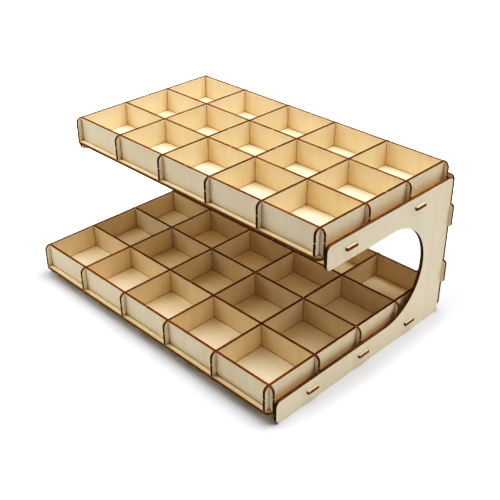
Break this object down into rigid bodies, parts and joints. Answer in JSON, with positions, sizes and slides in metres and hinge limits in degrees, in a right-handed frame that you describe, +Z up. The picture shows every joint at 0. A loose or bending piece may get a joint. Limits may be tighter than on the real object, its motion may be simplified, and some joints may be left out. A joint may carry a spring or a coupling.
{
  "type": "paint rack organizer",
  "caption": "Two-tier plywood desk rack for small paint pots: two open trays of half-lapped dividers, the upper set back, held by C-shaped side panels and an open back frame.",
  "frame": {"origin": "on the surface the rack stands on, below the middle of its outer box", "axes": "+Z up, +X to the right along the rack's width, -Y to the front, where the lower tray's first row is"},
  "size_m": [0.2904, 0.204, 0.1386],
  "materials": {
    "tray_floor": "bare pale plywood with a fine straight grain, brown-black laser-burnt edges",
    "divider": "bare pale plywood with a fine straight grain, brown-black laser-burnt edges",
    "side_panel": "bare pale plywood with a fine straight grain, brown-black laser-burnt edges",
    "back_panel": "bare pale plywood with a fine straight grain, brown-black laser-burnt edges"
  },
  "bodies": {
    "root": {"lower_base": "tray_floor", "lower_long_divider_1": "divider", "lower_long_divider_2": "divider", "lower_long_divider_3": "divider", "lower_long_divider_4": "divider", "lower_long_divider_5": "divider", "lower_cross_divider_1": "divider", "lower_cross_divider_2": "divider", "lower_cross_divider_3": "divider", "lower_cross_divider_4": "divider", "lower_cross_divider_5": "divider", "lower_cross_divider_6": "divider", "upper_base": "tray_floor", "upper_long_divider_1": "divider", "upper_long_divider_2": "divider", "upper_long_divider_3": "divider", "upper_long_divider_4": "divider", "upper_cross_divider_1": "divider", "upper_cross_divider_2": "divider", "upper_cross_divider_3": "divider", "upper_cross_divider_4": "divider", "upper_cross_divider_5": "divider", "upper_cross_divider_6": "divider", "side_panel_left": "side_panel", "side_panel_right": "side_panel", "back_panel": "back_panel"}
  },
  "joints": []
}
